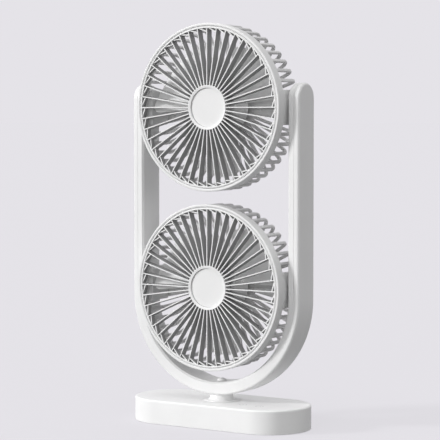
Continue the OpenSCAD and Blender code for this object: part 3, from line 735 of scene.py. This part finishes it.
def make_neck():
    """The neck: its foot sweeps out to a thin lip over the base's top, round the slip washer."""
    cove_steps = 16
    seat = slip_high.z + slip_gap
    lip = base_top + lip_gap
    rim = lip + lip_h
    top = post_high.z - bend_gap
    turns = [math.pi / 2 * k / cove_steps for k in range(cove_steps + 1)]
    cove = [(cove_r - (cove_r - neck_r) * math.sin(a), rim + cove_h * (1 - math.cos(a)))
            for a in turns]
    outline = [
        (0, post_low.z), (shaft_r, post_low.z), (shaft_r, seat), (flare_r - seat_inset, seat),
        (flare_r - lip_w, lip), (flare_r, lip), (flare_r, rim), *cove, (neck_r, top), (0, top),
    ]
    under_bend = mapped(prism(circle(frame_out + bend_gap, 120), -bend_cut, bend_cut),
                        lambda x, y, z: (x, z, y + bend_z))
    screw_hole = prism(circle(screw_hole_r, 36), screw_low.z - screw_gap, top + through)
    wire_hole = prism(circle(wire_hole_r, 36), post_low.z - through, top + through)
    piece("neck_foot", [lathe(outline, steps=96)], "frame", "white_shell", ["neck_post"],
          cutters=[under_bend, screw_hole, shifted(wire_hole, dy=wire_y)])


# Fan heads

def at_head(z):
    """Turns local +Z forward and puts the tilt axis at height z."""
    return Matrix.Translation((0, 0, z)) @ Matrix.Rotation(math.radians(90), 4, "X")


def bar_path():
    """The middle of a bar as (radius, height): a leg, a round elbow and a run to the rear plate."""
    centre = (bar_out - elbow_r, elbow_r + bar_rear)
    elbow = arc(centre, elbow_r - bar_t / 2, 0, -90, 14)
    return [(bar_out - bar_t / 2, band_back + bite), *elbow,
            (rear_plate_r - bite, bar_rear + bar_t / 2)]


def beside(path, gap):
    """The same path moved sideways, outward for a gap above 0."""
    made = []
    for i, here in enumerate(path):
        before = Vector(path[max(i - 1, 0)])
        after = Vector(path[min(i + 1, len(path) - 1)])
        along = (after - before).normalized()
        made.append((here[0] - along.y * gap, here[1] + along.x * gap))
    return made


def rear_bar():
    w, t = bar_w / 2, bar_t / 2
    section = rounded([(-w, -t), (w, -t), (w, t), (-w, t)], bar_round)
    strips = [beside(bar_path(), b) for _, b in section]
    return loft([
        [(strip[i][0], a, strip[i][1]) for strip, (a, _) in zip(strips, section)]
        for i in range(len(strips[0]))
    ])


def rear_bars():
    """Bars stand half a pitch off the sides, and leave out the places that the bridges fill."""
    bar = rear_bar()
    taken = pad_h / 2 + bar_w
    angles = [360 / bars * (k + 0.5) for k in range(bars)]
    return [turned(bar, a) for a in angles if abs(math.sin(math.radians(a))) * bar_out > taken]


def rear_bridge():
    """A solid wedge from a pad to the rear plate, with its long corners rounded."""
    steps = 12
    # Each cut across the wedge is a place along the steps and an inset
    corner = [(0, 0.5), (0, 0.15), (0.5, 0)]
    cuts = corner + [(k, 0) for k in range(1, steps)]
    cuts += [(steps - k, inset) for k, inset in reversed(corner)]
    rows = []
    for k, inset in cuts:
        half = bar_t / 2 - inset
        outline = beside(bar_path(), half) + beside(bar_path(), -half)[::-1]
        angle = -pad_reach + 2 * pad_reach * k / steps
        points, _ = turned(([(r, 0, z) for r, z in outline], ()), angle)
        rows.append(points)
    return loft(rows)


def pad_shape():
    """A pivot pad, flush with the band, whose rear rim is rounded."""
    steps = 20
    outline = arc((0, 0), head_r, -pad_reach, pad_reach, steps)
    outline += [(pad_in, pad_h / 2), (pad_in, -pad_h / 2)]
    radii = [pad_round, *[0] * (steps - 1), pad_round, pad_in_round, pad_in_round]
    return prism(rounded(outline, radii), -pad_back, band_back + bite, soften=pad_soften)


def make_rear_cage(head, z):
    body, nodes, place = f"{head}_head", [f"{head}_rear_cage"], at_head(z)
    rim = rounded([
        (head_r - ledge_w, band_back),
        (head_r, band_back),
        (head_r, head_front),
        (rim_in + rim_slope, head_front),
        (rim_in, head_front - groove_d),
        (rim_in, grille_back),
        (head_r - ledge_w, grille_back),
    ], [ledge_round, rim_round, rim_round, fine_round, fine_round, 0, fine_round], steps=4)
    piece(f"{head}_rim", [lathe(rim, rim_steps)], body, "cage_plastic", nodes, place)
    plate = rounded([
        (0, -head_back), (rear_plate_r, -head_back),
        (rear_plate_r, -head_back + bar_t), (0, -head_back + bar_t),
    ], [0, plate_round, plate_in_round, 0])
    tube_back = bar_t - head_back - bite
    tube = rounded([
        (tube_in, tube_back), (tube_r, tube_back), (tube_r, tube_front), (tube_in, tube_front),
    ], [0, 0, fine_round, fine_round])
    shapes = [lathe(plate), lathe(tube, steps=64)] + rear_bars()
    # The bars, rear plate and tube get painted shade, a darker copy of the cage's white plastic
    piece(f"{head}_bars", shapes, body, "cage_plastic", nodes, place, finish="shaded_bars")
    seat = mapped(prism(circle(seat_r, 60), 0, seat_cut), lambda x, y, h: (seat_face + h, x, y))
    for side, turn in (("right", 0), ("left", 180)):
        piece(f"{head}_{side}_pad", [turned(pad_shape(), turn)], body, "cage_plastic", nodes,
              place, cutters=[turned(seat, turn)])
        piece(f"{head}_{side}_bridge", [turned(rear_bridge(), turn)], body, "cage_plastic", nodes,
              place)


def spoke_shape():
    """A deep spoke from the hub ring to the outer ring, narrower in front."""
    w = spoke_w / 2
    tip = spoke_front_w / 2
    front = head_front - spoke_inset
    section = rounded([(-w, grille_back), (w, grille_back), (tip, front), (-tip, front)],
                      [fine_round, fine_round, spoke_round, spoke_round])
    return loft([[(x, a, b) for a, b in section] for x in (hub_r - spoke_bite, ring_in + bite)])


def strut_shape():
    """A thin slanted strut from the outer end of one spoke to the next spoke."""
    step = -2 * math.pi / spokes
    start = Vector((ring_in + strut_bite, 0))
    end_r = ring_in - strut_in
    end = Vector((end_r * math.cos(step), end_r * math.sin(step)))
    along = (end - start).normalized()
    across = Vector((-along.y, along.x))
    w = strut_w / 2
    front = head_front - strut_inset
    back = front - strut_d
    section = rounded([(-w, back), (w, back), (w, front), (-w, front)], fine_round)
    return loft([[(p.x + across.x * a, p.y + across.y * a, b) for a, b in section]
                 for p in (start, end)])


def make_front_grille(head, z):
    body, place = f"{head}_head", at_head(z)
    ring = rounded([
        (ring_in, grille_back), (grille_r, grille_back), (grille_r, head_front - groove_d),
        (grille_r - rim_slope, head_front), (ring_in, head_front),
    ], [0, 0, fine_round, fine_round, ring_round], steps=4)
    hub_in = hub_r - hub_wall
    hub = rounded([
        (hub_in, grille_back), (hub_r, grille_back), (hub_r, head_front),
        (hub_in, head_front - hub_dish),
    ], [0, 0, hub_round, fine_round], steps=4)
    floor_r = hub_in + floor_bite
    floor = [(0, cap_back - hub_floor), (floor_r, cap_back - hub_floor), (floor_r, cap_back),
             (0, cap_back)]
    shapes = [lathe(ring, rim_steps), lathe(hub), lathe(floor)]
    shapes += around(spoke_shape(), spokes) + around(strut_shape(), spokes)
    grille = piece(f"{head}_grille", shapes, body, "white_shell", [f"{head}_front_grille"], place)

    def is_side(face):
        """Whether a face of a spoke or strut looks to the side or back."""
        x, _, height = face.center / MM
        r = math.hypot(x, height - z)
        return sides_from < r < sides_to and face.normal.y > front_limit

    # Paints shade on the sides and backs of the spokes and struts
    finish_faces(grille, "painted_shade_sides", is_side)
    cap = rounded([(0, cap_back), (cap_r, cap_back), (cap_r, cap_front), (0, cap_front)],
                  [0, 0, cap_round, 0], steps=4)
    piece(f"{head}_cap", [lathe(cap)], body, "hub_cap", [f"{head}_hub_cap"], place)


def blade_shape():
    """A wide curved blade whose tip has round corners and whose edges are thin."""
    along, round_steps, across = 10, 6, 20
    first_r = cup_r - blade_bite
    last_r = impeller_r - blade_corner
    radii = [first_r + (last_r - first_r) * k / along for k in range(along + 1)]
    radii += [last_r + blade_corner * math.sin(math.pi / 2 * k / round_steps)
              for k in range(1, round_steps + 1)]
    loops = []
    for r in radii:
        share = (r - cup_r) / (impeller_r - cup_r)
        half = blade_root + (blade_tip - blade_root) * share
        past = max(r - last_r, 0)
        half -= blade_corner - math.sqrt(max(blade_corner ** 2 - past ** 2, 0))
        front, back = [], []
        for k in range(across + 1):
            y = half * (2 * k / across - 1)
            x = math.sqrt(r * r - y * y)
            gamma = math.asin(y / blade_curve + math.sin(blade_pitch))
            z = blade_z + blade_curve * (math.cos(blade_pitch) - math.cos(gamma))
            from_side = min(k, across - k) / across * 2
            edge = min(from_side * side_rise, 1)
            edge *= min((impeller_r - r) / tip_rise + tip_share, 1)
            thick = blade_t * (blade_thin + (1 - blade_thin) * edge)
            front.append((x, y, z))
            back.append((x, y + thick * math.sin(gamma), z - thick * math.cos(gamma)))
        loops.append(front + back[::-1])
    return loft(loops)


def make_impeller(head, z):
    cup_in = cup_r - cup_wall
    cup = rounded([
        (0, cup_front), (cup_r, cup_front), (cup_r, -cup_back), (cup_in, -cup_back),
        (cup_in, cup_front - cup_wall), (0, cup_front - cup_wall),
    ], [0, cup_round, cup_lip_round, cup_lip_round, cup_in_round, 0], steps=5)
    shapes = [lathe(cup)] + around(blade_shape(), blades, blade_phase)
    piece(f"{head}_blades", shapes, f"{head}_rotor", "blade_plastic", [f"{head}_impeller"],
          at_head(z))


make_base()
make_feet()
make_frame()
make_neck()
for head, z in HEADS.items():
    make_rear_cage(head, z)
    make_front_grille(head, z)
    make_impeller(head, z)


# Stage: floor, light and camera

BACKGROUND = (0.783, 0.768, 0.807)
# Share of the floor's seen colour that glows by itself, which keeps the shadow on it faint
FLOOR_GLOW = 0.75
# The floor's grey in the light that it gives back to the object
FLOOR_GREY = 0.15
# Half the floor's side, in metres
FLOOR_REACH = 60
WORLD_LIGHT = 0.46
# Name, strength, angle in degrees and the way that each sun shines
SUNS = (
    ("key", 2.18, 9, (0.727, 0.687, -0.325)),
    ("top", 0.9, 60, (0.0, 0.1, -1.0)),
    ("side", 0.2, 30, (-1.0, -0.05, -0.1)),
    ("front", 0.5, 20, (-0.16, 1.0, -0.12)),
)


def seen_rays(tree):
    """1 for rays from the camera, and for rays that glossy and clear surfaces send on."""
    rays = tree.nodes.new("ShaderNodeLightPath")
    total = rays.outputs["Is Camera Ray"]
    for name in ("Is Glossy Ray", "Is Transmission Ray"):
        either = tree.nodes.new("ShaderNodeMath")
        either.operation = "MAXIMUM"
        tree.links.new(total, either.inputs[0])
        tree.links.new(rays.outputs[name], either.inputs[1])
        total = either.outputs["Value"]
    return total


def mixed(tree, first, second):
    """A mix of two shaders, and the socket for the second one's share."""
    mix = tree.nodes.new("ShaderNodeMixShader")
    tree.links.new(first, mix.inputs[1])
    tree.links.new(second, mix.inputs[2])
    return mix.outputs["Shader"], mix.inputs["Fac"]


def make_floor():
    """A floor that gives back grey light, but looks like the backdrop with a faint shadow."""
    material = bpy.data.materials.new("studio floor")
    material.use_nodes = True
    tree = material.node_tree
    tree.nodes.clear()
    out = tree.nodes.new("ShaderNodeOutputMaterial")
    unseen = tree.nodes.new("ShaderNodeBsdfDiffuse")
    unseen.inputs["Color"].default_value = (*grey(FLOOR_GREY), 1)
    pale = tree.nodes.new("ShaderNodeBsdfDiffuse")
    pale.inputs["Color"].default_value = (*BACKGROUND, 1)
    glow = tree.nodes.new("ShaderNodeEmission")
    glow.inputs["Color"].default_value = (*BACKGROUND, 1)
    seen, glow_share = mixed(tree, pale.outputs["BSDF"], glow.outputs["Emission"])
    glow_share.default_value = FLOOR_GLOW
    surface, seen_share = mixed(tree, unseen.outputs["BSDF"], seen)
    tree.links.new(seen_rays(tree), seen_share)
    tree.links.new(surface, out.inputs["Surface"])
    mesh = bpy.data.meshes.new("studio_floor")
    ends = (-FLOOR_REACH, FLOOR_REACH)
    mesh.from_pydata([(x, y, 0) for y in ends for x in ends], [], [(0, 1, 3, 2)])
    mesh.materials.append(material)
    floor = bpy.data.objects.new("studio_floor", mesh)
    floor.location.z = feet_low.z * MM
    bpy.context.scene.collection.objects.link(floor)


def make_world():
    """Even white light, and the backdrop's colour where it is seen."""
    world = bpy.data.worlds.new("studio")
    bpy.context.scene.world = world
    world.use_nodes = True
    tree = world.node_tree
    tree.nodes.clear()
    out = tree.nodes.new("ShaderNodeOutputWorld")
    seen = tree.nodes.new("ShaderNodeBackground")
    seen.inputs["Color"].default_value = (*BACKGROUND, 1)
    light = tree.nodes.new("ShaderNodeBackground")
    light.inputs["Color"].default_value = (1, 1, 1, 1)
    light.inputs["Strength"].default_value = WORLD_LIGHT
    surface, seen_share = mixed(tree, light.outputs["Background"], seen.outputs["Background"])
    tree.links.new(seen_rays(tree), seen_share)
    tree.links.new(surface, out.inputs["Surface"])


def make_sun(name, strength, angle, toward):
    """A sun lamp that shines along the direction given."""
    data = bpy.data.lights.new(name, "SUN")
    data.energy = strength
    data.angle = math.radians(angle)
    sun = bpy.data.objects.new(name, data)
    sun.rotation_mode = "QUATERNION"
    sun.rotation_quaternion = Vector(toward).to_track_quat("-Z", "Y")
    bpy.context.scene.collection.objects.link(sun)


def make_camera():
    """The photograph's viewpoint: 32.6 degrees round to the right and 3.4 degrees up."""
    azimuth, elevation = math.radians(32.598), math.radians(3.384)
    distance = 1.5423
    target = Vector((0, 0, 0.170))
    focal_px = 1824.5
    image_px = 440
    back = Vector((
        math.sin(azimuth) * math.cos(elevation),
        -math.cos(azimuth) * math.cos(elevation),
        math.sin(elevation),
    ))
    data = bpy.data.cameras.new("camera")
    data.sensor_width = 36
    data.lens = focal_px / image_px * data.sensor_width
    data.shift_x = -0.00418
    data.shift_y = 0.00864
    camera = bpy.data.objects.new("camera", data)
    camera.location = target + back * distance
    camera.rotation_mode = "QUATERNION"
    camera.rotation_quaternion = (-back).to_track_quat("-Z", "Y")
    bpy.context.scene.collection.objects.link(camera)
    bpy.context.scene.camera = camera


make_floor()
make_world()
for sun in SUNS:
    make_sun(*sun)
make_camera()
bpy.context.scene.view_settings.view_transform = "Standard"
